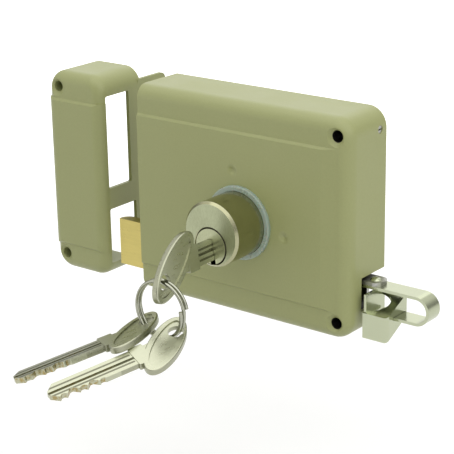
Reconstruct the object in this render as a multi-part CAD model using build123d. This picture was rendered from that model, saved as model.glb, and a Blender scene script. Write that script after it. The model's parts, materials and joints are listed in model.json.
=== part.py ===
from build123d import *
import math
import os

os.makedirs("parts", exist_ok=True)

# Frame: the origin is the centre of the case's back face, X runs to the pull, Y into the door, Z up.
# All sizes are millimetres and all angles are degrees.

# Cover of the case: pressed sheet steel, open at the bolt end and at the back
case_width = 105.0
case_height = 90.0
case_depth = 27.0
sheet = 1.5
corner_radius = 8.0
edge_radius = 5.5
panel_height = 66.6
panel_rise = 0.9
panel_slope = 1.0
panel_fade_start = 12.5
panel_fade_end = 6.0
overrun = 4.0
loose_fit = 0.1
running_fit = 0.05
contact_gap = 0.3

# Screw holes through the case, each with a dished rim, a drawn collar and a spacer sleeve behind it
screw_hole_radius = 2.4
screw_hole_inset = 6.1
screw_hole_spacing = 76.0
dish_radius = 4.1
dish_depth = 1.4
collar_radius = 3.8
collar_depth = 6.0
sleeve_radius = 4.0

# Small screw in the right wall that holds the cover to the upper sleeve
side_screw_depth = 4.4
side_screw_height = 37.1
side_screw_head_radius = 1.55
side_screw_shank_radius = 1.2
side_screw_recess = 0.3
side_screw_slot = 0.6

# Back plate and forend
plate = 1.6
tab_height = 8.0
tab_spacing = 60.0
hidden_hole_inset = 8.5

# Bolt: a brass bar with a rounded nose
bolt_front = 21.9
bolt_thickness = 5.0
bolt_height = 20.7
bolt_bottom = -37.8
bolt_projection = 16.4
bolt_inner_length = 27.5
nose_radius = 4.2
bolt_clearance = 0.2
bolt_travel = 16.4

# Tail of the bolt: a steel plate riveted to the bar, with a lug, a spring tab and a tongue
tail_sheet = 1.5
tail_top = -21.9
tail_bottom = -35.5
tail_lap = 19.0
tail_reach = 22.0
tail_rivet_radius = 2.0
tail_rivet_share = 0.28
lug_thickness = 2.0
lug_top = -18.5
lug_drop = 6.5
lug_depth = 4.0

# Guide post of the tail, riveted to the back plate
post_x = 14.0
post_z = -31.0
post_radius = 3.0
post_shoulder_radius = 4.2
post_head_radius = 4.5
post_head_thickness = 1.2
post_rivet_radius = 2.5
post_clearance = 0.2

# Return spring of the bolt, on a rod that a bracket holds
spring_y = -9.5
spring_z = -33.0
spring_coil_radius = 3.4
spring_wire = 0.9
spring_turns = 9
spring_end_pitch = 1.4
spring_tab_inset = 15.0
spring_bracket_x = 4.0
spring_bracket_size = 9.0
spring_foot = 12.0
rod_radius = 2.0

# Pull: a strip bent to a loop, riveted to the tongue of the tail
pull_front = 14.8
pull_width = 8.4
pull_sheet = 1.2
pull_height = 12.0
pull_top = -23.4
pull_end = 82.0
pull_inner_end = 36.0
pull_lower_end = 57.5
tongue_start = 8.0
tongue_end = 59.2
tongue_sheet = 1.5
tongue_corner = 3.0
pull_rivet_x = 55.4
pull_rivet_radius = 1.5
pull_rivet_head_radius = 2.3
pull_rivet_head = 0.9

# Slot in the right wall that the pull passes through
slot_front = 16.5
slot_bottom = -34.5
slot_top = -20.4

# Thumb block: bent sheet with a slanting top, a front pad and one cheek
block_left = 55.1
block_right = 66.4
block_front = 19.6
block_back = 5.2
block_front_top = -33.2
block_back_top = -27.0
block_front_height = 10.4
block_back_height = 9.5
block_sheet = 1.2
block_edge_radius = 1.6
block_notch_width = 11.0
block_notch_reach = 7.8
block_slot_gap = 0.15

# Cylinder and its plug
cylinder_x = 0.6
cylinder_z = -4.3
cylinder_radius = 13.4
cylinder_proud = 18.7
cylinder_inner_length = 12.0
cylinder_bevel = 1.0
flange_radius = 15.5
flange_thickness = 3.0
cylinder_hole_gap = 0.2
plug_drop = 4.9
plug_radius = 7.6
plug_tail = 0.4
plug_bevel = 0.35
washer_radius = 15.5
washer_thickness = 1.5
washer_round = 0.6

# Clamp plate behind the cylinder's flange, on two pillars welded inside the cover
clamp_plate = 1.6
clamp_ring_radius = 17.0
clamp_bottom = -16.6
pillar_places = ((-2.7, 17.0), (22.5, -6.5))
pillar_radius = 3.2
clamp_ear_radius = 4.5
clamp_screw_radius = 1.5
clamp_screw_head_radius = 2.8
clamp_screw_head = 1.6
weld_dent_radius = 1.6
weld_dent_depth = 0.4

# Key: a blade with five cuts and side grooves, and a slanting oval bow
key_turned = 10.0
blade_top = 3.0
blade_height = 8.4
blade_thickness = 2.3
blade_in_plug = 26.0
blade_point = 3.2
bow_center_out = 23.4
bow_center_z = -1.6
bow_length = 32.4
bow_width = 13.2
bow_slant = 40.2
bow_thickness = 2.8
bow_round = 0.5
recess_margin = 2.4
recess_depth = 0.5
ring_hole_out = 30.4
ring_hole_z = -5.5
ring_hole_radius = 3.2
neck_height = 10.4
neck_length = 3.0
groove_depth = 0.55
groove_height = 1.3
groove_z_right = -0.9
groove_z_left = -3.3
pin_count = 5
pin_pitch = 4.0
first_pin = 5.5
cut_flat = 1.2
cut_step = 0.6
cut_steps = (1, 3, 2, 4, 2)

# Keyway, pins and their chambers
keyway_gap = 0.12
keyway_end_gap = 0.8
chamber_radius = 1.5
pin_radius = 1.4
pin_tip_radius = 0.5
pin_tip_height = 0.9
pin_seat_gap = 0.06
key_pin_top = 7.35
driver_length = 4.0
chamber_cover = 1.1
chamber_floor = -1.6
pin_spring_radius = 1.25
pin_spring_bore = 0.85

# Cam on the back of the plug
cam_thickness = 2.5
cam_hub_radius = 5.0
cam_reach = 11.6
cam_nose = 2.0
cam_half_sweep = 45.0
cam_start_gap = 0.62
cam_screw_radius = 1.5
cam_screw_length = 6.0
cam_screw_head_radius = 3.2
cam_screw_head = 1.6

# Split ring of two turns, hanging in the bow of the first key
ring_radius = 11.4
ring_wire = 1.4
ring_pitch = 1.85
ring_turns = 2
ring_start = 10.0
ring_center_x = 0.05

# Loose keys on the ring: where each hangs on it, and where it points
loose_key_angles = (-134.0, -49.0)
loose_key_hole_shifts = (-0.8, -0.4)
loose_key_headings = ((-0.447, -0.868, -0.2), (-0.37, -0.912, -0.173))
loose_key_rolls = (6.0, -14.0)

# Strike: a pressed box for the frame, with two windows and a flange
strike_gap = 21.0
strike_width = 31.0
strike_sheet = 1.6
strike_edge_radius = 5.0
strike_hole_inset = 5.8
strike_hole_spacing = 76.4
strike_hole_radius = 2.35
strike_sleeve_radius = 3.6
window_front = 22.5
window_corner = 0.8
upper_window = (7.9, -4.5, 36.3)
lower_window = (5.4, -38.7, -13.9)
flange_depth = 17.0
flange_height = 79.8
flange_corner = 3.0

# Places worked out from the sizes above
right_face = case_width / 2
left_face = -case_width / 2
band_face = panel_rise - case_depth
panel_face = -case_depth
plate_front = -plate
screw_hole_x = right_face - screw_hole_inset
cylinder_face = panel_face - cylinder_proud
cylinder_back = panel_face + cylinder_inner_length
flange_front = panel_face + sheet
flange_back = flange_front + flange_thickness
plug_z = cylinder_z - plug_drop
plug_back = cylinder_back + plug_tail
bolt_top = bolt_bottom + bolt_height
bolt_back = bolt_thickness - bolt_front
bolt_tip = left_face - bolt_projection
bolt_inner_end = left_face + bolt_inner_length
tail_back = bolt_back + tail_sheet
tail_start = bolt_inner_end - tail_lap
spring_tab_x = bolt_inner_end - tail_sheet
pull_back = pull_width - pull_front
pull_bottom = pull_top - pull_height
strike_right = left_face - strike_gap
strike_left = strike_right - strike_width
blade_bottom = blade_top - blade_height
lug_left = (cylinder_x - cam_reach * math.sin(math.radians(cam_half_sweep))
            + cam_nose + cam_start_gap)


def block(x0, x1, y0, y1, z0, z1):
    """A box between two corners."""
    return Pos((x0 + x1) / 2, (y0 + y1) / 2, (z0 + z1) / 2) * Box(x1 - x0, y1 - y0, z1 - z0)


def polygon(*points):
    """A flat face with straight sides."""
    return make_face(Polyline(*points, close=True))


def slab_x(face, x0, x1):
    """A face drawn in Y and Z, thickened from one X to another."""
    return extrude(Plane.YZ.offset(x0) * face, x1 - x0)


def slab_y(face, y0, y1):
    """A face drawn in X and Z, thickened from one Y to another."""
    return extrude(Plane.XZ.offset(-y1) * face, y1 - y0)


def slab_z(face, z0, z1):
    """A face drawn in X and Y, thickened from one Z to another."""
    return extrude(Plane.XY.offset(z0) * face, z1 - z0)


def bar_y(x, z, radius, y0, y1):
    """A round bar along Y."""
    return slab_y(Pos(x, z) * Circle(radius), y0, y1)


def bar_x(y, z, radius, x0, x1):
    """A round bar along X."""
    return slab_x(Pos(y, z) * Circle(radius), x0, x1)


def turned(x, z, *profile):
    """A turned piece: points of radius and Y, spun round an axis along Y."""
    return Pos(x, 0, z) * revolve(polygon(*profile), Axis.Y)


def raised_panel(plan, inset):
    """The raised middle of a pressed face: its plan between two sloping steps."""
    half = panel_height / 2
    deep = band_face + edge_radius + inset
    band = band_face + inset
    top = panel_face + inset
    crest = half - panel_slope
    side = polygon((deep, -half), (band, -half), (top, -crest), (top, crest), (band, half), (deep, half))
    reach = case_width + strike_gap + strike_width
    return slab_z(plan, -half, half) & slab_x(side, -reach, reach)


def case_form(inset, past_left, past_back):
    """The case's pressed form, drawn in from its outside by an inset."""
    half = case_height / 2 - inset
    right = right_face - inset
    left = left_face - past_left
    body = block(left, right, band_face + inset, past_back, -half, half)
    body = fillet(body.edges().filter_by(Axis.Y).group_by(Axis.X)[-1], corner_radius - inset)
    rim = body.faces().sort_by(Axis.Y)[0].edges().sort_by(Axis.X)[1:]
    body = fillet(rim, edge_radius - inset)
    deep = band_face + edge_radius + inset
    top = panel_face + inset
    fade_start = right_face - panel_fade_start
    fade_end = right_face - panel_fade_end
    plan = polygon((left, deep), (left, top), (fade_start, top), (fade_end, band_face + inset), (fade_end, deep))
    return body + raised_panel(plan, inset)


def screw_holes_at(x, spacing):
    """The two places of a pair of holes, one above the other."""
    return [(x, spacing / 2), (x, -spacing / 2)]


def collar(x, z, thickness):
    """The metal drawn in round a screw hole."""
    return bar_y(x, z, collar_radius, band_face + thickness, band_face + collar_depth)


def dished_hole(x, z, radius):
    """A screw hole with its dished rim, to cut from a pressed face."""
    rim = band_face
    dish = turned(x, z, (0, rim - overrun), (dish_radius, rim - overrun), (dish_radius, rim),
                  (radius, rim + dish_depth), (0, rim + dish_depth))
    return dish + bar_y(x, z, radius, rim, band_face + collar_depth + overrun)


def weld_dent(x, z):
    """The shallow dent that a pillar's weld leaves in the cover."""
    ball = (weld_dent_radius ** 2 + weld_dent_depth ** 2) / (2 * weld_dent_depth)
    return Pos(x, panel_face - ball + weld_dent_depth, z) * Sphere(ball)


def case_cover():
    """Pressed cover with its holes, dents and the slot for the pull."""
    cover = case_form(0, 0, 0) - case_form(sheet, overrun, overrun)
    for x, z in screw_holes_at(screw_hole_x, screw_hole_spacing):
        cover = cover + collar(x, z, sheet)
        cover = cover - dished_hole(x, z, screw_hole_radius)
    cover = cover - bar_y(cylinder_x, cylinder_z, cylinder_radius + cylinder_hole_gap,
                          panel_face - overrun, panel_face + overrun)
    for x, z in pillar_places:
        cover = cover - weld_dent(x, z)
    cover = cover - bar_x(-side_screw_depth, side_screw_height, side_screw_head_radius + running_fit,
                          right_face - sheet - overrun, right_face + overrun)
    cover = cover - block(right_face - sheet - overrun, right_face + overrun,
                          -slot_front, overrun, slot_bottom, slot_top)
    return cover


def back_plate():
    """Flat plate that closes the back, with tabs through the forend."""
    form = case_form(sheet + loose_fit, 0, 0)
    sheet_back = form & block(left_face + plate, right_face, plate_front, 0, -case_height, case_height)
    notch = block(right_face - sheet - tongue_sheet - overrun, right_face, plate_front - overrun, overrun,
                  slot_bottom, slot_top)
    sheet_back = sheet_back - notch
    for z in (tab_spacing / 2, -tab_spacing / 2):
        half = tab_height / 2
        sheet_back = sheet_back + block(left_face, left_face + plate, plate_front, 0, z - half, z + half)
    for x, z in screw_holes_at(screw_hole_x, screw_hole_spacing):
        sheet_back = sheet_back - bar_y(x, z, screw_hole_radius, plate_front - overrun, overrun)
    for x, z in screw_holes_at(left_face + hidden_hole_inset, screw_hole_spacing):
        sheet_back = sheet_back - bar_y(x, z, screw_hole_radius, plate_front - overrun, overrun)
    return sheet_back - bar_y(post_x, post_z, post_rivet_radius, plate_front - overrun, overrun)


def forend_plate():
    """Plate across the bolt end, with the bolt's opening and the back plate's notches."""
    form = case_form(sheet + loose_fit, 0, 0)
    forend = form & block(left_face, left_face + plate, -case_depth, 0, -case_height, case_height)
    opening = block(left_face - overrun, left_face + plate + overrun,
                    -bolt_front - bolt_clearance, bolt_back + bolt_clearance,
                    bolt_bottom - bolt_clearance, bolt_top + bolt_clearance)
    forend = forend - opening
    for z in (tab_spacing / 2, -tab_spacing / 2):
        half = tab_height / 2
        forend = forend - block(left_face, left_face + plate, plate_front, 0, z - half, z + half)
    return forend


def mount_sleeves():
    """Spacers between the cover's collars and the back plate."""
    sleeves = []
    for x, z in screw_holes_at(screw_hole_x, screw_hole_spacing):
        tube = bar_y(x, z, sleeve_radius, band_face + collar_depth, plate_front)
        tube = tube - bar_y(x, z, screw_hole_radius, band_face, 0)
        if z > 0:
            tube = tube - bar_x(-side_screw_depth, side_screw_height, side_screw_shank_radius + running_fit,
                                screw_hole_x, right_face)
        sleeves.append(tube)
    return Compound(children=sleeves)


def side_screw():
    """Slotted screw from the right wall into the upper sleeve."""
    head_face = right_face - side_screw_recess
    neck = right_face - sheet
    reach = math.sqrt(sleeve_radius ** 2 - side_screw_shank_radius ** 2)
    tip = screw_hole_x + reach - (sleeve_radius - screw_hole_radius) / 2
    screw = bar_x(-side_screw_depth, side_screw_height, side_screw_head_radius, neck, head_face)
    screw = screw + bar_x(-side_screw_depth, side_screw_height, side_screw_shank_radius, tip, neck)
    half = side_screw_slot / 2
    return screw - block(head_face - side_screw_slot, head_face + overrun, -case_depth, 0,
                         side_screw_height - half, side_screw_height + half)


def bolt_head():
    """Brass bar with the back corner of its nose rounded."""
    bar = block(bolt_tip, bolt_inner_end, -bolt_front, bolt_back, bolt_bottom, bolt_top)
    nose = bar.edges().filter_by(Axis.Z).group_by(Axis.X)[0].sort_by(Axis.Y)[-1]
    bar = fillet(nose, nose_radius)
    for x, z in bolt_rivet_places():
        bar = bar - bar_y(x, z, tail_rivet_radius, -bolt_front - overrun, overrun)
    return bar


def bolt_rivet_places():
    """The two rivets that hold the tail to the bar."""
    margin = tail_rivet_share * tail_lap
    middle = (tail_top + tail_bottom) / 2
    return [(tail_start + margin, middle), (bolt_inner_end - margin, middle)]


def bolt_rivets():
    """Rivets, flush with both faces of bar and tail."""
    return Compound(children=[bar_y(x, z, tail_rivet_radius, -bolt_front, tail_back)
                              for x, z in bolt_rivet_places()])


def bolt_tail():
    """Plate with the cam's lug, the spring's tab, the guide slot and the folded tongue."""
    tail = block(tail_start, tail_reach, bolt_back, tail_back, tail_bottom, tail_top)
    lug_right = lug_left + lug_thickness
    tail = tail + block(lug_left, lug_right, bolt_back, tail_back, tail_top, lug_top)
    tail = tail + block(lug_left, lug_right, tail_back, tail_back + lug_depth, lug_top - lug_drop, lug_top)
    half = spring_bracket_size / 2
    tab_back = spring_y + half
    tab = block(spring_tab_x, spring_tab_x + tail_sheet, tail_back, tab_back, spring_z - half, spring_z + half)
    tail = tail + tab - bar_x(spring_y, spring_z, rod_radius + running_fit, left_face, right_face)
    slot_half = post_radius + post_clearance
    guide = Pos(post_x - bolt_travel / 2, post_z) * SlotCenterToCenter(bolt_travel, 2 * slot_half)
    tail = tail - slab_y(guide, bolt_back - overrun, tail_back + overrun)
    fold = block(tongue_start, tail_reach, tail_back, pull_back, pull_top, tail_top)
    tongue = block(tongue_start, tongue_end, -pull_front, pull_back, pull_top, tail_top)
    tongue = fillet(tongue.edges().filter_by(Axis.Z).group_by(Axis.X)[-1], tongue_corner)
    tongue = tongue - pull_rivet_hole()
    tail = tail + fold + tongue
    for x, z in bolt_rivet_places():
        tail = tail - bar_y(x, z, tail_rivet_radius, -bolt_front, overrun)
    return tail


def pull_rivet_hole():
    """The hole for the rivet through tongue and loop."""
    middle = (pull_back - pull_front) / 2
    return slab_z(Pos(pull_rivet_x, middle) * Circle(pull_rivet_radius), pull_bottom, 0)


def pull_loop():
    """Strip bent round a half circle, its upper leg under the tongue."""
    outer = pull_height / 2
    bend_x = pull_end - outer
    bend_z = pull_top - outer
    inner = outer - pull_sheet
    bend = Pos(bend_x, bend_z) * (Circle(outer) - Circle(inner))
    bend = bend - Pos(bend_x - outer, bend_z) * Rectangle(pull_height, pull_height + pull_sheet)
    upper = polygon((pull_inner_end, pull_top), (bend_x, pull_top), (bend_x, pull_top - pull_sheet),
                    (pull_inner_end, pull_top - pull_sheet))
    lower = polygon((pull_lower_end, pull_bottom), (bend_x, pull_bottom), (bend_x, pull_bottom + pull_sheet),
                    (pull_lower_end, pull_bottom + pull_sheet))
    strip = slab_y(bend + upper + lower, -pull_front, pull_back)
    hole = slab_z(Pos(pull_rivet_x, (pull_back - pull_front) / 2) * Circle(pull_rivet_radius), bend_z, 0)
    return strip - hole


def pull_rivet():
    """Rivet with a domed head above the tongue and a flat one under the loop."""
    middle = (pull_back - pull_front) / 2
    low = pull_top - pull_sheet
    shank = slab_z(Circle(pull_rivet_radius), low, tail_top)
    foot = slab_z(Circle(pull_rivet_head_radius), low - pull_rivet_head, low)
    ball = (pull_rivet_head_radius ** 2 + pull_rivet_head ** 2) / (2 * pull_rivet_head)
    dome = Pos(0, 0, tail_top + pull_rivet_head - ball) * Sphere(ball)
    cap = slab_z(Circle(pull_rivet_head_radius), tail_top, tail_top + pull_rivet_head)
    return Pos(pull_rivet_x, middle, 0) * (shank + foot + (dome & cap))


def block_section(inset):
    """The thumb block's slanting section, drawn in from its front and top by an inset."""
    front = inset - block_front
    back = -block_back
    slope = (block_back_top - block_front_top) / (block_front - block_back)
    drop = inset * math.sqrt(1 + slope ** 2)
    front_top = block_front_top - drop + slope * inset
    low_front = block_front_top - block_front_height
    low_back = block_back_top - block_back_height
    past = overrun if inset else 0
    return polygon((front, low_front - past), (front, front_top),
                   (back + past, block_back_top - drop + slope * past), (back + past, low_back - past))


def thumb_block():
    """Sheet folded into a pad, a slanting top with a round notch, and a cheek with a slot."""
    shell = slab_x(block_section(0), block_left, block_right)
    front_edge = shell.edges().filter_by(Axis.Z).group_by(Axis.X)[-1].sort_by(Axis.Y)[0]
    shell = fillet(front_edge, block_edge_radius)
    hollow = slab_x(block_section(block_sheet), block_left - overrun, block_right - block_sheet)
    shell = shell - hollow
    middle = -(block_front + block_back) / 2
    notch = Pos(block_left, middle) * Ellipse(block_notch_reach, block_notch_width / 2)
    shell = shell - slab_z(notch, block_front_top - block_sheet, block_back_top + overrun)
    gap = block_slot_gap
    return shell - block(block_right - block_sheet - overrun, block_right + overrun,
                         -pull_front - gap, pull_back + gap, pull_bottom - gap, pull_bottom + pull_sheet + gap)


def cylinder_body():
    """Cylinder housing with its flange, the plug's bore and the pin chambers."""
    r = cylinder_radius
    body = turned(cylinder_x, cylinder_z,
                  (0, cylinder_face), (r - cylinder_bevel, cylinder_face), (r, cylinder_face + cylinder_bevel),
                  (r, flange_front), (flange_radius, flange_front), (flange_radius, flange_back),
                  (r, flange_back), (r, cylinder_back), (0, cylinder_back))
    bore = plug_radius + running_fit
    body = body - bar_y(cylinder_x, plug_z, bore, cylinder_face - overrun, cylinder_back + overrun)
    body = body - turned(cylinder_x, plug_z, (0, cylinder_face - plug_bevel),
                         (bore + 2 * plug_bevel, cylinder_face - plug_bevel), (0, cylinder_face + bore + plug_bevel))
    for y in pin_depths():
        body = body - Pos(cylinder_x, y, 0) * slab_z(Circle(chamber_radius), plug_z, chamber_top())
    return body


def chamber_top():
    """The height at which the chambers end under the cylinder's skin."""
    return cylinder_z + cylinder_radius - chamber_cover


def pin_depths():
    """The Y of each pin, counted from the cylinder's face."""
    return [cylinder_face + first_pin + pin_pitch * i for i in range(pin_count)]


def in_plug(shape):
    """Put a shape from the plug's own frame, at the middle of its face, where the key has turned it."""
    return Pos(cylinder_x, cylinder_face, plug_z) * Rot(0, -key_turned, 0) * shape


def blade_profile(gap):
    """The blade's section in X and Z, with its side grooves; a gap widens it for the keyway."""
    half = blade_thickness / 2 + gap
    low = blade_bottom - gap
    high = blade_top + gap
    section = polygon((-half, low), (half, low), (half, high), (-half, high))
    groove = Rectangle(groove_depth, groove_height - 2 * gap)
    inward = half - groove_depth / 2
    return section - Pos(inward, groove_z_right) * groove - Pos(-inward, groove_z_left) * groove


def plug():
    """Plug with its keyway, its wards and a chamber over each cut."""
    length = plug_back - cylinder_face
    body = turned(0, 0, (0, 0), (plug_radius - plug_bevel, 0), (plug_radius, plug_bevel),
                  (plug_radius, length), (0, length))
    way = blade_profile(keyway_gap)
    half = blade_thickness / 2 + keyway_gap
    way = way + polygon((-half, -plug_radius - overrun), (half, -plug_radius - overrun),
                        (half, blade_bottom), (-half, blade_bottom))
    body = body - slab_y(way, -overrun, blade_in_plug + keyway_end_gap)
    for i in range(pin_count):
        y = first_pin + pin_pitch * i
        body = body - Pos(0, y, 0) * slab_z(Circle(chamber_radius), chamber_floor, plug_radius + overrun)
    body = body - bar_y(0, 0, cam_screw_radius, length - cam_screw_length + cam_thickness, length + overrun)
    return in_plug(body)


def bow_ellipse(margin):
    """The bow's slanting oval in the key's Y and Z, drawn in by a margin."""
    return Pos(-bow_center_out, bow_center_z) * Rot(0, 0, bow_slant) * Ellipse(
        bow_length / 2 - margin, bow_width / 2 - margin)


def key():
    """A key in the plug's frame: the blade runs to +Y, the cuts face +Z."""
    tip = blade_in_plug
    start = -bow_center_out
    blade = polygon((start, blade_bottom), (tip - blade_point, blade_bottom), (tip, blade_bottom + blade_point),
                    (tip, blade_top - blade_point), (tip - blade_point, blade_top), (start, blade_top))
    for i, step in enumerate(cut_steps):
        y = first_pin + pin_pitch * i
        low = blade_top - cut_step * step
        flank = blade_height / 2
        half = cut_flat / 2
        blade = blade - polygon((y - half, low), (y + half, low), (y + half + flank, low + flank),
                                (y - half - flank, low + flank))
    shape = slab_x(blade, -blade_thickness / 2, blade_thickness / 2)
    shape = shape & slab_y(blade_profile(0), start, tip)
    bow = slab_x(bow_ellipse(0), -bow_thickness / 2, bow_thickness / 2)
    bow = fillet(bow.edges(), bow_round)
    shoulder_z = blade_bottom + blade_height / 2
    bow_end = -bow_center_out + bow_length / 2 * math.cos(math.radians(bow_slant))
    neck = Pos(bow_end - neck_length / 2, shoulder_z) * RectangleRounded(
        neck_length * 2, neck_height, bow_round)
    shape = shape + slab_x(neck, -bow_thickness / 2, bow_thickness / 2) + bow
    face = bow_thickness / 2
    floor = face - recess_depth
    recess = bow_ellipse(recess_margin)
    shape = shape - slab_x(recess, floor, face + overrun) - slab_x(recess, -face - overrun, -floor)
    return shape - bar_x(-ring_hole_out, ring_hole_z, ring_hole_radius, -overrun, overrun)


def key_pins():
    """Lower pins, standing on the cuts and ending at the shear line."""
    pins = []
    for i, step in enumerate(cut_steps):
        low = blade_top - cut_step * step + pin_seat_gap
        r = pin_radius
        profile = polygon((0, low), (pin_tip_radius, low), (r, low + pin_tip_height), (r, key_pin_top),
                          (0, key_pin_top))
        pin = revolve(Plane.XZ * profile, Axis.Z)
        pins.append(in_plug(Pos(0, first_pin + pin_pitch * i, 0) * pin))
    return Compound(children=pins)


def driver_pins():
    """Upper pins, standing on the plug."""
    low = plug_z + plug_radius + running_fit
    pin = Pos(cylinder_x, 0, 0) * slab_z(Circle(pin_radius), low, low + driver_length)
    return Compound(children=[Pos(0, y, 0) * pin for y in pin_depths()])


def pin_springs():
    """Springs over the upper pins, drawn as sleeves of the coils' size."""
    low = plug_z + plug_radius + 2 * running_fit + driver_length
    ring = Circle(pin_spring_radius) - Circle(pin_spring_bore)
    sleeve = Pos(cylinder_x, 0, 0) * slab_z(ring, low, chamber_top() - running_fit)
    return Compound(children=[Pos(0, y, 0) * sleeve for y in pin_depths()])


def cylinder_washer():
    """Translucent trim ring between the cylinder and the cover."""
    inner = cylinder_radius + loose_fit
    ring = turned(cylinder_x, cylinder_z, (inner, panel_face), (washer_radius, panel_face),
                  (washer_radius, panel_face - washer_thickness), (inner, panel_face - washer_thickness))
    edge = ring.edges().group_by(Axis.Y)[0].sort_by(SortBy.RADIUS)[-1]
    return fillet(edge, washer_round)


def clamp_pillars():
    """Tapped pillars welded inside the cover, behind the dents."""
    pillars = [bar_y(x, z, pillar_radius, flange_front, flange_back)
               - bar_y(x, z, clamp_screw_radius, flange_front, flange_back) for x, z in pillar_places]
    return Compound(children=pillars)


def cylinder_clamp_plate():
    """Plate that presses the cylinder's flange to the cover, with an ear at each pillar."""
    outline = Pos(cylinder_x, cylinder_z) * Circle(clamp_ring_radius)
    for x, z in pillar_places:
        across = x - cylinder_x
        up = z - cylinder_z
        ear = SlotCenterToCenter(math.hypot(across, up), 2 * clamp_ear_radius)
        turn = math.degrees(math.atan2(up, across))
        outline = outline + Pos((x + cylinder_x) / 2, (z + cylinder_z) / 2) * Rot(0, 0, turn) * ear
    outline = outline - Pos(cylinder_x, cylinder_z) * Circle(cylinder_radius + loose_fit)
    clamp = slab_y(outline, flange_back, flange_back + clamp_plate)
    clamp = clamp - block(left_face, right_face, -case_depth, 0, -case_height, clamp_bottom)
    for x, z in pillar_places:
        clamp = clamp - bar_y(x, z, clamp_screw_radius, -case_depth, 0)
    return clamp


def clamp_screws():
    """Round-headed screws through the clamp plate."""
    screws = []
    seat = flange_back + clamp_plate
    for x, z in pillar_places:
        screw = bar_y(x, z, clamp_screw_radius, flange_front, seat)
        head = bar_y(x, z, clamp_screw_head_radius, seat, seat + clamp_screw_head)
        half = side_screw_slot / 2
        slot = block(x - pillar_radius, x + pillar_radius, seat + clamp_screw_head - side_screw_slot,
                     seat + clamp_screw_head, z - half, z + half)
        screws.append(screw + head - slot)
    return Compound(children=screws)


def cam():
    """Cam plate whose finger points down and to the left at rest."""
    finger = Pos(cam_reach / 2, 0) * SlotCenterToCenter(cam_reach, 2 * cam_nose)
    outline = Circle(cam_hub_radius) + Rot(0, 0, -90 - cam_half_sweep) * finger - Circle(cam_screw_radius)
    return Pos(cylinder_x, 0, plug_z) * slab_y(outline, plug_back, plug_back + cam_thickness)


def cam_screw():
    """Screw that holds the cam to the plug's back."""
    seat = plug_back + cam_thickness
    shank = bar_y(cylinder_x, plug_z, cam_screw_radius, seat - cam_screw_length, seat)
    head = bar_y(cylinder_x, plug_z, cam_screw_head_radius, seat, seat + cam_screw_head)
    half = side_screw_slot / 2
    slot = block(cylinder_x - cam_hub_radius, cylinder_x + cam_hub_radius,
                 seat + cam_screw_head - side_screw_slot, seat + cam_screw_head, plug_z - half, plug_z + half)
    return shank + head - slot


def guide_post():
    """Shouldered post: riveted in the back plate, through the tail's slot, with a head in front."""
    shoulder = tail_back + post_clearance
    neck = bolt_back - post_clearance
    return turned(post_x, post_z,
                  (0, 0), (post_rivet_radius, 0), (post_rivet_radius, plate_front),
                  (post_shoulder_radius, plate_front), (post_shoulder_radius, shoulder),
                  (post_radius, shoulder), (post_radius, neck), (post_head_radius, neck),
                  (post_head_radius, neck - post_head_thickness), (0, neck - post_head_thickness))


def spring_bracket():
    """Angle bracket on the back plate that backs the spring and holds its rod."""
    half = spring_bracket_size / 2
    x = spring_bracket_x
    upright = block(x, x + plate, spring_y - half, plate_front, spring_z - half, spring_z + half)
    foot = block(x - spring_foot + plate, x + plate, plate_front - plate, plate_front,
                 spring_z - half, spring_z + half)
    return upright + foot - bar_x(spring_y, spring_z, rod_radius, left_face, right_face)


def spring_rod():
    """Rod that the spring and the tail's tab slide on."""
    start = spring_tab_x - spring_tab_inset
    return bar_x(spring_y, spring_z, rod_radius, start, spring_bracket_x + plate)


def unit(v):
    """A vector of length one."""
    length = math.sqrt(sum(c * c for c in v))
    return tuple(c / length for c in v)


def dot(a, b):
    """The dot product of two vectors."""
    return sum(p * q for p, q in zip(a, b))


def biarc(p0, t0, p1, t1):
    """Two arcs that join two points and are tangent to both directions and to each other."""
    v = tuple(b - a for a, b in zip(p0, p1))
    t = tuple(a + b for a, b in zip(t0, t1))
    a = 2 * dot(t0, t1) - 2
    b = -2 * dot(v, t)
    d = (-b - math.sqrt(b * b - 4 * a * dot(v, v))) / (2 * a)
    q0 = tuple(p + d * c for p, c in zip(p0, t0))
    q1 = tuple(p - d * c for p, c in zip(p1, t1))
    middle = tuple((m + n) / 2 for m, n in zip(q0, q1))
    across = unit(tuple(n - m for m, n in zip(q0, q1)))
    first = Edge.make_tangent_arc(Vector(p0), Vector(t0), Vector(middle))
    return [first, Edge.make_tangent_arc(Vector(middle), Vector(across), Vector(p1))]


def coil_tube(name, radius, wire, turns, height, slow_share, start):
    """One unbroken wire wound round Z, from a formula, on biarcs of a quarter turn.

    The rise is slower at both ends by slow_share of the mean pitch."""
    def point(t):
        angle = math.radians(start) + 2 * math.pi * t
        rise = height * (t / turns - slow_share * math.sin(2 * math.pi * t / turns) / (2 * math.pi))
        return (radius * math.cos(angle), radius * math.sin(angle), rise)

    def heading(t):
        angle = math.radians(start) + 2 * math.pi * t
        slope = height / turns * (1 - slow_share * math.cos(2 * math.pi * t / turns))
        around = 2 * math.pi * radius
        return unit((-around * math.sin(angle), around * math.cos(angle), slope))

    stops = [i / 4 for i in range(4 * turns + 1)]
    edges = []
    for t0, t1 in zip(stops, stops[1:]):
        edges = edges + biarc(point(t0), heading(t0), point(t1), heading(t1))
    fine = [i / 48 for i in range(48 * turns + 1)]
    gap = min(math.dist(point(t), point(u)) for t in fine for u in fine if 0.5 <= u - t <= 1.5) - wire
    print(name, "least gap to itself", round(gap, 3), "mm")
    section = Plane(origin=point(0), z_dir=heading(0)) * Circle(wire / 2)
    return sweep(section, path=Wire(edges))


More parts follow.
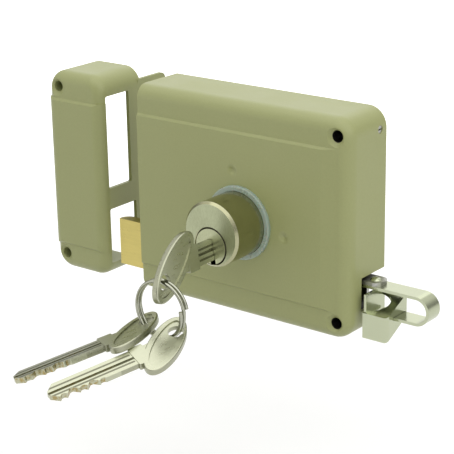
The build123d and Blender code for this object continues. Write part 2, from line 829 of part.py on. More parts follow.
def bolt_spring():
    """Compression spring between the tail's tab and the bracket."""
    room = spring_bracket_x - spring_tab_x - tail_sheet - spring_wire - 2 * contact_gap
    slow = 1 - spring_end_pitch * spring_turns / room
    coil = coil_tube("bolt_spring", spring_coil_radius, spring_wire, spring_turns, room, slow, 0)
    start = spring_tab_x + tail_sheet + spring_wire / 2 + contact_gap
    return Pos(start, spring_y, spring_z) * Rot(0, 90, 0) * coil


def ring_hole():
    """Where the first key's ring hole lies."""
    turn = math.radians(key_turned)
    return (cylinder_x - ring_hole_z * math.sin(turn), cylinder_face - ring_hole_out,
            plug_z + ring_hole_z * math.cos(turn))


def ring_center():
    """The middle of the split ring, which hangs with its top in the first key's hole."""
    x, y, z = ring_hole()
    return (ring_center_x, y, z - math.sqrt(ring_radius ** 2 - (x - ring_center_x) ** 2))


def split_ring():
    """Two turns of wire round an axis along Y."""
    height = ring_pitch * ring_turns
    coil = coil_tube("split_ring", ring_radius, ring_wire, ring_turns, height, 0, 0)
    x, y, z = ring_center()
    return Pos(x, y + height / 2, z) * Rot(90, 0, 0) * Rot(0, 0, ring_start) * coil


def loose_key_hole(i):
    """Where the ring hole of a loose key lies on the split ring."""
    x, y, z = ring_center()
    angle = math.radians(loose_key_angles[i])
    reach = ring_radius + loose_key_hole_shifts[i]
    return (x + reach * math.cos(angle), y, z + reach * math.sin(angle))


def loose_key(i):
    """A key on the ring, its blade pointing to the front and down, its cuts to the right."""
    heading = Vector(*loose_key_headings[i]).normalized()
    up = (Vector(0, 0, 1) - heading * heading.Z).normalized()
    face = up.rotate(Axis((0, 0, 0), tuple(heading)), loose_key_rolls[i])
    place = Plane(origin=loose_key_hole(i), x_dir=face, z_dir=face.cross(heading))
    return place.location * Pos(0, ring_hole_out, -ring_hole_z) * key()


def strike_form(inset, past_back):
    """The strike's pressed form, drawn in from its outside by an inset."""
    half = case_height / 2 - inset
    left = strike_left + inset
    right = strike_right - inset
    body = block(left, right, band_face + inset, past_back, -half, half)
    body = fillet(body.edges().filter_by(Axis.Y), corner_radius - inset)
    body = fillet(body.faces().sort_by(Axis.Y)[0].edges(), strike_edge_radius - inset)
    deep = band_face + edge_radius + inset
    top = panel_face + inset
    plan = polygon((left, deep), (left, top), (right, top), (right, deep))
    front = plan.vertices().group_by(Axis.Y)[0]
    plan = fillet(front, strike_edge_radius - inset)
    return body + raised_panel(plan, inset)


def strike_box():
    """Pressed strike with two windows for the bolt and a flange along the frame's edge."""
    box = strike_form(0, 0) - strike_form(strike_sheet, overrun)
    half = flange_height / 2
    flange = block(strike_right - strike_sheet, strike_right, -strike_sheet, flange_depth, -half, half)
    flange = fillet(flange.edges().filter_by(Axis.X).group_by(Axis.Y)[-1], flange_corner)
    box = box + flange
    for back, low, high in (upper_window, lower_window):
        opening = Pos(-(window_front + back) / 2, (low + high) / 2) * RectangleRounded(
            window_front - back, high - low, window_corner)
        box = box - slab_x(opening, strike_right - strike_edge_radius - overrun, strike_right + overrun)
    for x, z in screw_holes_at(strike_left + strike_hole_inset, strike_hole_spacing):
        box = box + collar(x, z, strike_sheet)
        box = box - dished_hole(x, z, strike_hole_radius)
    return box


def strike_sleeves():
    """Spacers between the strike's collars and the frame."""
    sleeves = []
    for x, z in screw_holes_at(strike_left + strike_hole_inset, strike_hole_spacing):
        tube = bar_y(x, z, strike_sleeve_radius, band_face + collar_depth, 0)
        sleeves.append(tube - bar_y(x, z, strike_hole_radius, band_face, overrun))
    return Compound(children=sleeves)


nodes = {
    "case_cover": case_cover(),
    "back_plate": back_plate(),
    "forend_plate": forend_plate(),
    "mount_sleeves": mount_sleeves(),
    "side_screw": side_screw(),
    "cylinder_body": cylinder_body(),
    "cylinder_washer": cylinder_washer(),
    "cylinder_clamp_plate": cylinder_clamp_plate(),
    "clamp_pillars": clamp_pillars(),
    "clamp_screws": clamp_screws(),
    "driver_pins": driver_pins(),
    "pin_springs": pin_springs(),
    "guide_post": guide_post(),
    "spring_bracket": spring_bracket(),
    "spring_rod": spring_rod(),
    "bolt_spring": bolt_spring(),
    "bolt_head": bolt_head(),
    "bolt_tail": bolt_tail(),
    "bolt_rivets": bolt_rivets(),
    "pull_loop": pull_loop(),
    "pull_rivet": pull_rivet(),
    "thumb_block": thumb_block(),
    "plug": plug(),
    "key_1": in_plug(key()),
    "key_pins": key_pins(),
    "cam": cam(),
    "cam_screw": cam_screw(),
    "split_ring": split_ring(),
    "key_2": loose_key(0),
    "key_3": loose_key(1),
    "strike_box": strike_box(),
    "strike_sleeves": strike_sleeves(),
}

for name, shape in nodes.items():
    export_step(shape, f"parts/{name}.step")
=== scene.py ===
import json
import math

import bpy
from mathutils import Matrix, Vector


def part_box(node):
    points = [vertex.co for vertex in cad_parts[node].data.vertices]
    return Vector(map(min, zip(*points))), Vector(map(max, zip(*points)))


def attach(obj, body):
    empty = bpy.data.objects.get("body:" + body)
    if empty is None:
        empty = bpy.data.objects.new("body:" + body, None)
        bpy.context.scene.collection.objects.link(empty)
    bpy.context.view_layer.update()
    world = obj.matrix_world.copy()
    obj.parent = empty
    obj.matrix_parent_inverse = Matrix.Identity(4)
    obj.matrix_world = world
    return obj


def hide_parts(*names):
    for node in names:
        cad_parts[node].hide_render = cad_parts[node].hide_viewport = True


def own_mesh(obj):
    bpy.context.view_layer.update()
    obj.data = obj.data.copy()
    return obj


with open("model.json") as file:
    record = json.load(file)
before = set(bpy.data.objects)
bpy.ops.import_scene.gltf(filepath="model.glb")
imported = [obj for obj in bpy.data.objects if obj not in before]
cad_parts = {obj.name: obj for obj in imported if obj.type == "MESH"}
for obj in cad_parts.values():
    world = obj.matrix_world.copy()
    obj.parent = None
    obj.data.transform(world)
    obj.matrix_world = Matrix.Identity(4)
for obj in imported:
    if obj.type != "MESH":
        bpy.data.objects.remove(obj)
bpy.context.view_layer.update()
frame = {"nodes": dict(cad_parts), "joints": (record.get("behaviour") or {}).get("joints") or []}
nodes = frame["nodes"]
joints = {joint["name"]: joint for joint in frame["joints"]}

# The photograph's camera, in the model's frame: places in metres, angles in degrees
CAMERA_PLACE = (0.3562, -0.4872, 0.1909)
CAMERA_AZIMUTH = 38.18
CAMERA_ELEVATION = 18.72
CAMERA_ROLL = 1.04
CAMERA_NEAR = 0.01
IMAGE_SIZE = 454
FOCAL_PIXELS = 1525.4
SENSOR_MM = 36.0

# The white floor, in metres: it lies under the keys' whole swing, as the lock is held up
FLOOR_Z = -0.1202
FLOOR_REACH = 4.0
FLOOR_TONE = 0.67

# The floor's glow for seen rays, and the glow added for the camera, which grows between two distances
# from the frame's origin
FLOOR_GLOW = 0.4
FAR_GLOW = 0.8
FAR_GLOW_REACH = (0.2, 0.9)

# The world's grey: pairs of height over the horizon, where 1 is overhead, and level, with a little
# less blue. WORLD_LIGHT is its strength as light on the object, and WORLD_SEEN for seen rays
WORLD_STEPS = ((0.0, 0.9), (0.1, 0.3), (0.3, 0.45), (0.55, 1.0))
WORLD_BLUE = 0.97
WORLD_LIGHT = 0.6
WORLD_SEEN = 1.0

# The lamps: name, place in metres, side in metres and power in watts. They aim at the frame's origin
LAMPS = (
    ("top_light", (0.0, -0.15, 1.05), 1.6, 7.0),
    ("side_light", (1.0, -0.2, 0.5), 1.2, 4.4),
    ("front_light", (-0.9, -0.9, 0.1), 1.0, 2.2),
    ("back_panel", (-0.55, 0.95, 0.5), 1.0, 2.4),
)

# The cover's screw holes and weld dents: X and Z in millimetres. The radius of the holes' painted shade
# takes in their walls, and the dents' radius is that of their relief in the paint
SCREW_HOLES = ((46.4, 38.0), (46.4, -38.0))
SCREW_HOLE_SHADE_RADIUS = 2.45
WELD_DENTS = ((-2.7, 17.0), (22.5, -6.5))
WELD_DENT_RADIUS = 2.6

# The plug: its frame at the middle of its face. In millimetres its radius, the width of its rim of
# painted shade and the depth from which its keyway gets painted shade
PLUG_PLACE = Matrix.Translation(joints["key_turn"]["pos_m"])
PLUG_RADIUS = 7.6
PLUG_RIM = 0.35
PLUG_KEYWAY_DEPTH = 0.35

# How far a surface has to face a way, from -1 to 1: the cylinder's front, a key's flat side and its cuts
FRONT_FACING = -0.95
FLAT_FACING = 0.9
CUT_FACING = 0.2

# A key in its own frame, in millimetres: X through its thickness, Y along the blade to its tip, Z up.
# Half its thickness, its top, how far under the top it counts as cut, where blade and shank begin, the
# heights and half width of the lines of painted shade, and the depth from which a groove gets painted
# shade
KEY_HALF = 1.15
KEY_TOP = 3.0
KEY_CUT_EDGE = 0.35
KEY_BLADE_FROM = -2.0
KEY_SHANK_FROM = -9.0
KEY_GROOVES = (0.9, -1.1, -3.3)
KEY_GROOVE_HALF = 0.45
KEY_GROOVE_DEPTH = 0.12

# The keys' places, as in the part's source: metres and degrees
KEY_TURNED = 10.0
RING_HOLE_OUT = 0.0304
RING_HOLE_Z = -0.0055
RING_MIDDLE_X = 0.00005
RING_RADIUS = 0.0114
LOOSE_KEY_ANGLES = (-134.0, -49.0)
LOOSE_KEY_SHIFTS = (-0.0008, -0.0004)
LOOSE_KEY_HEADINGS = ((-0.447, -0.868, -0.2), (-0.37, -0.912, -0.173))
LOOSE_KEY_ROLLS = (6.0, -14.0)

# The thumb block's upright sheet, in metres: its thickness, its start behind the block's front and
# above the block's foot, its rise over the block's top and its rounded edge
WEB_THICK = 0.0012
WEB_BEHIND = 0.0007
WEB_RAISED = 0.0075
WEB_OVER = 0.0013
WEB_EDGE = 0.0002

# The bolt's spring, in metres. Its pitch is less at both ends by the share SPRING_SLOW
SPRING_WIRE = 0.0009
SPRING_TURNS = 9
SPRING_SLOW = 0.6
SPRING_WIRE_SIDES = 10
SPRING_TURN_STEPS = 28


def first_key_place():
    """The frame of the key in the plug."""
    return PLUG_PLACE @ Matrix.Rotation(math.radians(-KEY_TURNED), 4, "Y")


def loose_key_place(i):
    """The frame of a key on the ring, which hangs in the hole of the first key."""
    hole = first_key_place() @ Vector((0, -RING_HOLE_OUT, RING_HOLE_Z))
    drop = math.sqrt(RING_RADIUS ** 2 - (hole.x - RING_MIDDLE_X) ** 2)
    angle = math.radians(LOOSE_KEY_ANGLES[i])
    reach = RING_RADIUS + LOOSE_KEY_SHIFTS[i]
    across, up = reach * math.cos(angle), reach * math.sin(angle)
    place = Vector((RING_MIDDLE_X + across, hole.y, hole.z - drop + up))
    heading = Vector(LOOSE_KEY_HEADINGS[i]).normalized()
    upright = (Vector((0, 0, 1)) - heading * heading.z).normalized()
    face = Matrix.Rotation(math.radians(LOOSE_KEY_ROLLS[i]), 3, heading) @ upright
    turn = Matrix((face, heading, face.cross(heading))).transposed().to_4x4()
    return Matrix.Translation(place) @ turn @ Matrix.Translation((0, RING_HOLE_OUT, -RING_HOLE_Z))


def srgb(r, g, b):
    """A colour given in 0 to 255 screen values, as Blender's linear values."""
    def linear(v):
        v = v / 255
        return v / 12.92 if v <= 0.04045 else ((v + 0.055) / 1.055) ** 2.4
    return (linear(r), linear(g), linear(b), 1.0)


def shade(base, factor):
    """A colour made lighter or darker."""
    return tuple(min(1.0, c * factor) for c in base[:3]) + (1.0,)


def grey(level):
    """A plain grey of a linear level."""
    return (level, level, level, 1)


def feed(tree, value, socket):
    """Give a socket another node's output, or a plain value."""
    if hasattr(value, "is_linked"):
        tree.links.new(value, socket)
    else:
        socket.default_value = value


def math_node(tree, kind, *values):
    """The output of a math node that takes outputs or plain values."""
    made = tree.nodes.new("ShaderNodeMath")
    made.operation = kind
    for value, socket in zip(values, made.inputs):
        feed(tree, value, socket)
    return made.outputs[0]


def range_node(tree, value, before, after):
    """A value carried over from one range to another."""
    made = tree.nodes.new("ShaderNodeMapRange")
    for name, limit in zip(("From Min", "From Max", "To Min", "To Max"), before + after):
        made.inputs[name].default_value = limit
    tree.links.new(value, made.inputs["Value"])
    return made.outputs["Result"]


class Surface:
    """A node material built up from a Principled shader."""

    def __init__(self, name, roughness=0.5, metallic=0.0):
        self.material = bpy.data.materials.new(name)
        self.material.use_nodes = True
        self.tree = self.material.node_tree
        self.shader = self.tree.nodes["Principled BSDF"]
        self.shader.inputs["Roughness"].default_value = roughness
        self.shader.inputs["Metallic"].default_value = metallic
        coordinates = self.node("ShaderNodeTexCoord")
        self.place = coordinates.outputs["Object"]
        self.facing = coordinates.outputs["Normal"]

    def node(self, kind, **values):
        """A new node with some of its settings."""
        made = self.tree.nodes.new(kind)
        for name, value in values.items():
            setattr(made, name, value)
        return made

    def link(self, output, target):
        """Link an output to an input."""
        self.tree.links.new(output, target)

    def axes(self, vector):
        """The X, Y and Z of a vector."""
        made = self.node("ShaderNodeSeparateXYZ")
        self.link(vector, made.inputs[0])
        return made.outputs

    def local(self, place):
        """Object coordinates in another frame, in millimetres."""
        mapping = self.node("ShaderNodeMapping", vector_type="TEXTURE")
        mapping.inputs["Location"].default_value = place.to_translation()
        mapping.inputs["Rotation"].default_value = place.to_euler()
        mapping.inputs["Scale"].default_value = (0.001, 0.001, 0.001)
        self.link(self.place, mapping.inputs["Vector"])
        return mapping.outputs["Vector"]

    def local_facing(self, place):
        """The surface's direction in another frame."""
        mapping = self.node("ShaderNodeMapping", vector_type="VECTOR")
        mapping.inputs["Rotation"].default_value = place.to_3x3().transposed().to_euler()
        self.link(self.facing, mapping.inputs["Vector"])
        return mapping.outputs["Vector"]

    def noise(self, scale, detail=4.0, stretch=(1, 1, 1), rough=0.55, source=None):
        """Cloudy noise from 0 to 1, in bumps per unit of the source: object coordinates if not given."""
        mapping = self.node("ShaderNodeMapping")
        mapping.inputs["Scale"].default_value = stretch
        self.link(self.place if source is None else source, mapping.inputs["Vector"])
        made = self.node("ShaderNodeTexNoise")
        made.inputs["Scale"].default_value = scale
        made.inputs["Detail"].default_value = detail
        made.inputs["Roughness"].default_value = rough
        self.link(mapping.outputs["Vector"], made.inputs["Vector"])
        return made.outputs["Fac"]

    def steps(self, source, *stops):
        """A colour ramp: pairs of place and colour."""
        ramp = self.node("ShaderNodeValToRGB")
        elements = ramp.color_ramp.elements
        while len(elements) < len(stops):
            elements.new(0.5)
        for element, (place, colour) in zip(elements, stops):
            element.position = place
            element.color = colour
        self.link(source, ramp.inputs["Fac"])
        return ramp.outputs["Color"]

    def grey_steps(self, source, *stops):
        """A ramp of plain values."""
        return self.steps(source, *[(place, grey(level)) for place, level in stops])

    def mix(self, amount, first, second):
        """Two colours mixed by an amount: outputs or plain values."""
        made = self.node("ShaderNodeMix", data_type="RGBA")
        for value, slot in ((amount, 0), (first, 6), (second, 7)):
            feed(self.tree, value, made.inputs[slot])
        return made.outputs[2]

    def maths(self, kind, *values):
        """The output of a math node in this material."""
        return math_node(self.tree, kind, *values)

    def above(self, value, limit):
        """1 where a value is greater than a limit, else 0."""
        return self.maths("GREATER_THAN", value, limit)

    def below(self, value, limit):
        """1 where a value is less than a limit, else 0."""
        return self.maths("LESS_THAN", value, limit)

    def both(self, first, second):
        """Where two masks meet."""
        return self.maths("MULTIPLY", first, second)

    def either(self, first, second):
        """Where one of two masks is, or both."""
        return self.maths("MAXIMUM", first, second)

    def size(self, value):
        """A value without its sign."""
        return self.maths("ABSOLUTE", value)

    def length(self, across, up):
        """The length of a step across and up."""
        squares = self.maths("ADD", self.maths("POWER", across, 2.0), self.maths("POWER", up, 2.0))
        return self.maths("SQRT", squares)

    def nearest(self, places):
        """The distance in the X and Z plane to the nearest of some places, in millimetres."""
        x, _, z = self.axes(self.local(Matrix()))
        least = 1000.0
        for place_x, place_z in places:
            across = self.maths("SUBTRACT", x, place_x)
            up = self.maths("SUBTRACT", z, place_z)
            least = self.maths("MINIMUM", self.length(across, up), least)
        return least

    def colour(self, value):
        """Set the colour."""
        feed(self.tree, value, self.shader.inputs["Base Color"])

    def colour_now(self):
        """The output that the colour comes from so far."""
        return self.shader.inputs["Base Color"].links[0].from_socket

    def rough(self, value):
        """Set the roughness."""
        feed(self.tree, value, self.shader.inputs["Roughness"])

    def bump(self, height, depth, strength=1.0):
        """Relief of a given depth in metres, on top of any relief before it."""
        made = self.node("ShaderNodeBump")
        made.inputs["Distance"].default_value = depth
        made.inputs["Strength"].default_value = strength
        self.link(height, made.inputs["Height"])
        last = self.shader.inputs["Normal"]
        if last.is_linked:
            self.link(last.links[0].from_socket, made.inputs["Normal"])
        self.link(made.outputs["Normal"], last)


def painted_steel():
    """Satin olive beige paint, even, with a faint orange peel, fine specks and painted shade in the
    screw holes.
    """
    s = Surface("painted_steel", roughness=0.4)
    paint, bore = srgb(161, 165, 112), srgb(24, 23, 20)
    tone = s.steps(s.noise(14, detail=3), (0.3, shade(paint, 0.975)), (0.7, shade(paint, 1.025)))
    specks = s.noise(1400, detail=2)
    fleck = s.steps(specks, (0.35, shade(paint, 0.95)), (0.5, paint), (0.68, shade(paint, 1.05)))
    # The screw holes' walls get painted shade, near black
    bore_shade_mask = s.below(s.nearest(SCREW_HOLES), SCREW_HOLE_SHADE_RADIUS)
    s.colour(s.mix(bore_shade_mask, s.mix(0.4, tone, fleck), bore))
    s.rough(s.grey_steps(s.noise(60, detail=3), (0.3, 0.36), (0.7, 0.44)))
    s.bump(s.noise(1500, detail=2), depth=0.00002, strength=0.25)
    out_of_dent = s.maths("DIVIDE", s.nearest(WELD_DENTS), WELD_DENT_RADIUS)
    s.bump(s.grey_steps(out_of_dent, (0.15, 0.0), (1.0, 1.0)), depth=0.0005)
    return s.material


def metal(name, tint, roughness, scale=1.0, brush=(1, 1, 1), contrast=0.12, stain=0.2):
    """Bare or plated metal, brushed along the direction in which the brush is least."""
    s = Surface(name, roughness=roughness, metallic=1.0)
    lines = s.noise(900 * scale, detail=5, stretch=brush, rough=0.7)
    tone = s.steps(lines, (0.3, shade(tint, 1 - contrast)), (0.7, shade(tint, 1 + contrast)))
    dull = s.grey_steps(s.noise(70 * scale, detail=5), (0.4, 0.0), (0.75, stain))
    s.colour(s.mix(dull, tone, shade(tint, 0.55)))
    s.rough(s.grey_steps(lines, (0.25, roughness * 0.8), (0.75, min(1.0, roughness * 1.3))))
    s.bump(lines, depth=0.00002, strength=0.3)
    return s


def cylinder_nickel():
    """Satin nickel: fine turned rings round the side, a face brushed up and down and scratched."""
    s = Surface("cylinder_nickel", roughness=0.3, metallic=1.0)
    side, face = srgb(172, 171, 138), srgb(172, 177, 145)
    rings = s.noise(1100, detail=5, stretch=(0.6, 7, 0.6), rough=0.7)
    strokes = s.noise(1000, detail=5, stretch=(8, 1, 0.7), rough=0.75)
    side_tone = s.steps(rings, (0.3, shade(side, 0.95)), (0.7, shade(side, 1.04)))
    face_tone = s.steps(strokes, (0.32, shade(face, 0.72)), (0.5, face), (0.7, shade(face, 1.1)))
    front = s.below(s.axes(s.facing)["Y"], FRONT_FACING)
    wear = s.grey_steps(s.noise(120, detail=5), (0.45, 0.0), (0.75, 0.3))
    s.colour(s.mix(wear, s.mix(front, side_tone, face_tone), shade(side, 0.6)))
    side_rough = s.grey_steps(rings, (0.25, 0.17), (0.75, 0.24))
    face_rough = s.grey_steps(strokes, (0.25, 0.26), (0.75, 0.42))
    s.rough(s.mix(front, side_rough, face_rough))
    s.bump(s.mix(front, rings, strokes), depth=0.00002, strength=0.15)
    return s.material


def plug_nickel():
    """The plug: its brushed face, with painted shade at its rim against the bore and inside the keyway.
    """
    nickel = srgb(180, 184, 150)
    s = metal("plug_nickel", nickel, roughness=0.3, brush=(8, 1, 0.7), contrast=0.2, stain=0.3)
    x, y, z = s.axes(s.local(PLUG_PLACE))
    # Painted shade at the rim against the bore and deep in the keyway
    rim = s.above(s.length(x, z), PLUG_RADIUS - PLUG_RIM)
    dark = s.either(rim, s.above(y, PLUG_KEYWAY_DEPTH))
    s.colour(s.mix(dark, s.colour_now(), srgb(52, 50, 40)))
    return s.material


def key_nickel(name, place):
    """Bright nickel plate: long rubbed streaks, painted shade in the grooves and on the bow's edges,
    brass where the cuts bared it.
    """
    s = Surface(name, roughness=0.22, metallic=1.0)
    nickel = srgb(188, 190, 167)
    local = s.local(place)
    x, y, z = s.axes(local)
    way = s.axes(s.local_facing(place))
    streaks = s.noise(0.9, stretch=(1, 0.22, 1), rough=0.65, source=local)
    tone = s.steps(streaks, (0.3, shade(nickel, 0.95)), (0.7, shade(nickel, 1.03)))

    # The parts of a key, as masks of 0 or 1
    flat = s.above(s.size(way["X"]), FLAT_FACING)
    blade = s.above(y, KEY_BLADE_FROM)
    shank = s.both(flat, s.above(y, KEY_SHANK_FROM))
    cut = s.both(s.above(way["Z"], CUT_FACING), s.both(blade, s.below(z, KEY_TOP - KEY_CUT_EDGE)))
    # The grooves get painted shade, and so do the lines at their heights on the shank
    depth = s.maths("SUBTRACT", KEY_HALF, s.size(x))
    groove_shade = s.both(s.above(depth, KEY_GROOVE_DEPTH), s.both(blade, flat))
    # The bow's edges and hollows get a lighter painted shade
    bow_side_shade = s.maths("SUBTRACT", 1.0, s.either(flat, blade))
    lines = 0.0
    for height in KEY_GROOVES:
        lines = s.either(s.below(s.size(s.maths("SUBTRACT", z, height)), KEY_GROOVE_HALF), lines)
    groove_shade = s.either(groove_shade, s.both(shank, lines))

    body = s.mix(s.maths("MULTIPLY", groove_shade, 0.75), tone, srgb(72, 70, 54))
    body = s.mix(s.maths("MULTIPLY", bow_side_shade, 0.35), body, srgb(110, 108, 88))
    patch = s.grey_steps(s.noise(900, detail=3), (0.45, 0.1), (0.62, 0.8))
    s.colour(s.mix(s.maths("MULTIPLY", cut, patch), body, srgb(158, 134, 70)))
    s.rough(s.grey_steps(streaks, (0.25, 0.24), (0.75, 0.36)))
    s.bump(streaks, depth=0.00001, strength=0.05)
    return s.material


def drawn_brass():
    """Brass bar with lengthwise drawing lines and a little tarnish."""
    brass = srgb(198, 183, 112)
    return metal("drawn_brass", brass, roughness=0.3, brush=(0.12, 1, 1), contrast=0.06).material


def bright_chrome():
    """Bright plate over polished sheet, with a warm cast."""
    chrome = srgb(184, 189, 162)
    return metal("bright_chrome", chrome, roughness=0.2, scale=0.8, brush=(0.3, 1, 1), contrast=0.02,
                 stain=0.05).material


def zinc_plate():
    """Zinc plated sheet with a mottled bloom."""
    return metal("zinc_plate", srgb(178, 178, 172), roughness=0.38, scale=0.7, stain=0.3).material


def spring_wire():
    """Drawn steel wire."""
    steel = srgb(170, 171, 156)
    return metal("spring_wire", steel, roughness=0.16, contrast=0.1, stain=0.15).material


def black_steel():
    """Blackened steel inside the screw holes, kept dark so that it also gives the holes' painted shade.
    """
    s = Surface("black_steel", roughness=0.5, metallic=0.4)
    # Near black: blackened steel, and painted shade deep in the screw holes
    s.colour(s.steps(s.noise(500), (0.35, srgb(18, 18, 17)), (0.7, srgb(38, 37, 34))))
    s.rough(s.grey_steps(s.noise(300, detail=3), (0.3, 0.4), (0.7, 0.6)))
    s.bump(s.noise(1200, detail=3), depth=0.00003, strength=0.4)
    return s.material


def washer_plastic():
    """Milky translucent plastic, slightly blue."""
    s = Surface("washer_plastic", roughness=0.3)
    milk = srgb(182, 198, 184)
    s.colour(s.steps(s.noise(160, detail=3), (0.3, shade(milk, 0.94)), (0.7, shade(milk, 1.04))))
    s.shader.inputs["Transmission Weight"].default_value = 0.25
    s.shader.inputs["Subsurface Weight"].default_value = 0.2
    s.shader.inputs["Subsurface Scale"].default_value = 0.002
    s.rough(s.grey_steps(s.noise(300, detail=3), (0.3, 0.24), (0.7, 0.36)))
    s.bump(s.noise(900, detail=2), depth=0.00002, strength=0.4)
    return s.material


def dress(material, *names):
    """Give CAD nodes a material."""
    for name in names:
        mesh = nodes[name].data
        mesh.materials.clear()
        mesh.materials.append(material)


def dress_all():
    """Dress every CAD node."""
    dress(painted_steel(), "case_cover", "strike_box")
    dress(cylinder_nickel(), "cylinder_body")
    dress(plug_nickel(), "plug")
    dress(key_nickel("key_nickel_1", first_key_place()), "key_1")
    dress(key_nickel("key_nickel_2", loose_key_place(0)), "key_2")
    dress(key_nickel("key_nickel_3", loose_key_place(1)), "key_3")
    dress(drawn_brass(), "bolt_head", "bolt_rivets", "driver_pins", "key_pins")
    dress(bright_chrome(), "pull_loop", "pull_rivet", "thumb_block")
    dress(spring_wire(), "split_ring", "bolt_spring", "pin_springs")
    dress(black_steel(), "mount_sleeves")
    dress(washer_plastic(), "cylinder_washer")
    dress(zinc_plate(), "back_plate", "forend_plate", "cylinder_clamp_plate", "clamp_pillars",
          "clamp_screws", "guide_post", "spring_bracket", "spring_rod", "bolt_tail", "cam",
          "cam_screw", "side_screw", "strike_sleeves")


def add_object(name, data):
    """A new object in the scene."""
    made = bpy.data.objects.new(name, data)
    bpy.context.scene.collection.objects.link(made)
    return made


def mesh_piece(name, points, faces, node, body):
    """A piece of the scene from its points and faces, made like a CAD node and riding on a body."""
    mesh = bpy.data.meshes.new(name)
    mesh.from_pydata(points, [], faces)
    mesh.update()
    mesh.materials.append(nodes[node].data.materials[0])
    piece = add_object(name, mesh)
    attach(piece, body)
    return piece


def thumb_web():
    """The block's upright sheet behind its round notch."""
    low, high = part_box("thumb_block")
    across = (low.x, low.x + WEB_THICK)
    deep = (low.y + WEB_BEHIND, high.y)
    tall = (low.z + WEB_RAISED, high.z + WEB_OVER)
    points = [(x, y, z) for x in across for y in deep for z in tall]
    faces = [(0, 1, 3, 2), (4, 6, 7, 5), (0, 4, 5, 1), (2, 3, 7, 6), (0, 2, 6, 4), (1, 5, 7, 3)]
    piece = mesh_piece("thumb_web", points, faces, "thumb_block", "bolt")
    bevel = piece.modifiers.new("edge", "BEVEL")
    bevel.width = WEB_EDGE
    bevel.segments = 2


def coil_spring():
    """The bolt's spring, wound like its solid."""
    low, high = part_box("bolt_spring")
    wire, sides = SPRING_WIRE / 2, SPRING_WIRE_SIDES
    radius = (high.z - low.z) / 2 - wire
    y, z = (low.y + high.y) / 2, (low.z + high.z) / 2
    start, end = low.x + wire, high.x - wire
    count = SPRING_TURNS * SPRING_TURN_STEPS
    points, faces = [], []
    for i in range(count + 1):
        t = i / count
        x = start + (end - start) * (t - SPRING_SLOW * math.sin(2 * math.pi * t) / (2 * math.pi))
        a = 2 * math.pi * SPRING_TURNS * t
        for k in range(sides):
            b = 2 * math.pi * k / sides
            r = radius + wire * math.cos(b)
            points.append((x + wire * math.sin(b), y + r * math.cos(a), z + r * math.sin(a)))
    for i in range(count):
        here, there = i * sides, (i + 1) * sides
        for k in range(sides):
            n = (k + 1) % sides
            faces.append((here + k, here + n, there + n, there + k))
    faces.append(tuple(range(sides)))
    faces.append(tuple(count * sides + k for k in reversed(range(sides))))
    piece = mesh_piece("coil_spring", points, faces, "bolt_spring", "case")
    for face in piece.data.polygons:
        face.use_smooth = True
    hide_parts("bolt_spring")
    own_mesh(piece)


def make_camera():
    """The photograph's camera."""
    data = bpy.data.cameras.new("camera")
    data.sensor_width = SENSOR_MM
    data.lens = FOCAL_PIXELS / IMAGE_SIZE * SENSOR_MM
    data.clip_start = CAMERA_NEAR
    camera = add_object("camera", data)
    turn = Matrix.Rotation(math.radians(CAMERA_AZIMUTH), 4, "Z")
    turn = turn @ Matrix.Rotation(math.radians(90 - CAMERA_ELEVATION), 4, "X")
    turn = turn @ Matrix.Rotation(math.radians(-CAMERA_ROLL), 4, "Z")
    camera.matrix_world = Matrix.Translation(CAMERA_PLACE) @ turn
    bpy.context.scene.camera = camera


def seen_ray(tree):
    """1 for the rays of the camera, of gloss and of transmission, else 0."""
    path = tree.nodes.new("ShaderNodeLightPath").outputs
    glossy = math_node(tree, "MAXIMUM", path["Is Camera Ray"], path["Is Glossy Ray"])
    return math_node(tree, "MAXIMUM", glossy, path["Is Transmission Ray"])


def camera_ray(tree):
    """1 for the rays of the camera, else 0."""
    return tree.nodes.new("ShaderNodeLightPath").outputs["Is Camera Ray"]


def floor_glow(tree):
    """Near the lock the floor holds its shadow, and far off it stays white by its own glow."""
    away = tree.nodes.new("ShaderNodeVectorMath")
    away.operation = "LENGTH"
    tree.links.new(tree.nodes.new("ShaderNodeTexCoord").outputs["Object"], away.inputs[0])
    far = range_node(tree, away.outputs["Value"], FAR_GLOW_REACH, (0.0, FAR_GLOW))
    far = math_node(tree, "MULTIPLY", camera_ray(tree), far)
    return math_node(tree, "MULTIPLY_ADD", seen_ray(tree), FLOOR_GLOW, far)


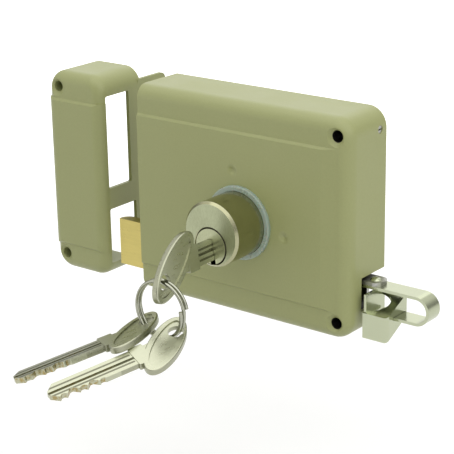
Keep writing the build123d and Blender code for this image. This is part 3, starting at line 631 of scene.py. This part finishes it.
def make_floor():
    """White floor that reaches past the view, seen as plain white and holding the shadow."""
    r, z = FLOOR_REACH, FLOOR_Z
    mesh = bpy.data.meshes.new("floor")
    mesh.from_pydata([(-r, -r, z), (r, -r, z), (r, r, z), (-r, r, z)], [], [(0, 1, 2, 3)])
    material = bpy.data.materials.new("floor_white")
    material.use_nodes = True
    tree = material.node_tree
    shader = tree.nodes["Principled BSDF"].inputs
    shader["Base Color"].default_value = grey(FLOOR_TONE)
    shader["Roughness"].default_value = 0.8
    shader["Specular IOR Level"].default_value = 0.0
    shader["Emission Color"].default_value = grey(1)
    tree.links.new(floor_glow(tree), shader["Emission Strength"])
    mesh.materials.append(material)
    add_object("floor", mesh)


def make_world():
    """White for the camera. For other rays its grey changes with height, which metal mirrors."""
    world = bpy.data.worlds.new("studio")
    world.use_nodes = True
    bpy.context.scene.world = world
    tree = world.node_tree
    background = tree.nodes["Background"].inputs
    way = tree.nodes.new("ShaderNodeSeparateXYZ")
    tree.links.new(tree.nodes.new("ShaderNodeTexCoord").outputs["Generated"], way.inputs[0])
    ramp = tree.nodes.new("ShaderNodeValToRGB")
    elements = ramp.color_ramp.elements
    while len(elements) < len(WORLD_STEPS):
        elements.new(0.5)
    for element, (place, level) in zip(elements, WORLD_STEPS):
        element.position = place
        element.color = (level, level, level * WORLD_BLUE, 1)
    tree.links.new(way.outputs["Z"], ramp.inputs["Fac"])
    plain = tree.nodes.new("ShaderNodeMix")
    plain.data_type = "RGBA"
    for value, slot in ((camera_ray(tree), 0), (ramp.outputs["Color"], 6), (grey(1), 7)):
        feed(tree, value, plain.inputs[slot])
    tree.links.new(plain.outputs[2], background["Color"])
    strength = range_node(tree, seen_ray(tree), (0.0, 1.0), (WORLD_LIGHT, WORLD_SEEN))
    tree.links.new(strength, background["Strength"])


def make_lamps():
    """Soft square lamps."""
    for name, place, side, power in LAMPS:
        data = bpy.data.lights.new(name, "AREA")
        data.shape = "SQUARE"
        data.size = side
        data.energy = power
        lamp = add_object(name, data)
        lamp.location = place
        lamp.rotation_euler = (-Vector(place)).to_track_quat("-Z", "Y").to_euler()


make_camera()
make_floor()
make_world()
make_lamps()
dress_all()
thumb_web()
coil_spring()

bpy.context.scene.view_settings.view_transform = "Standard"
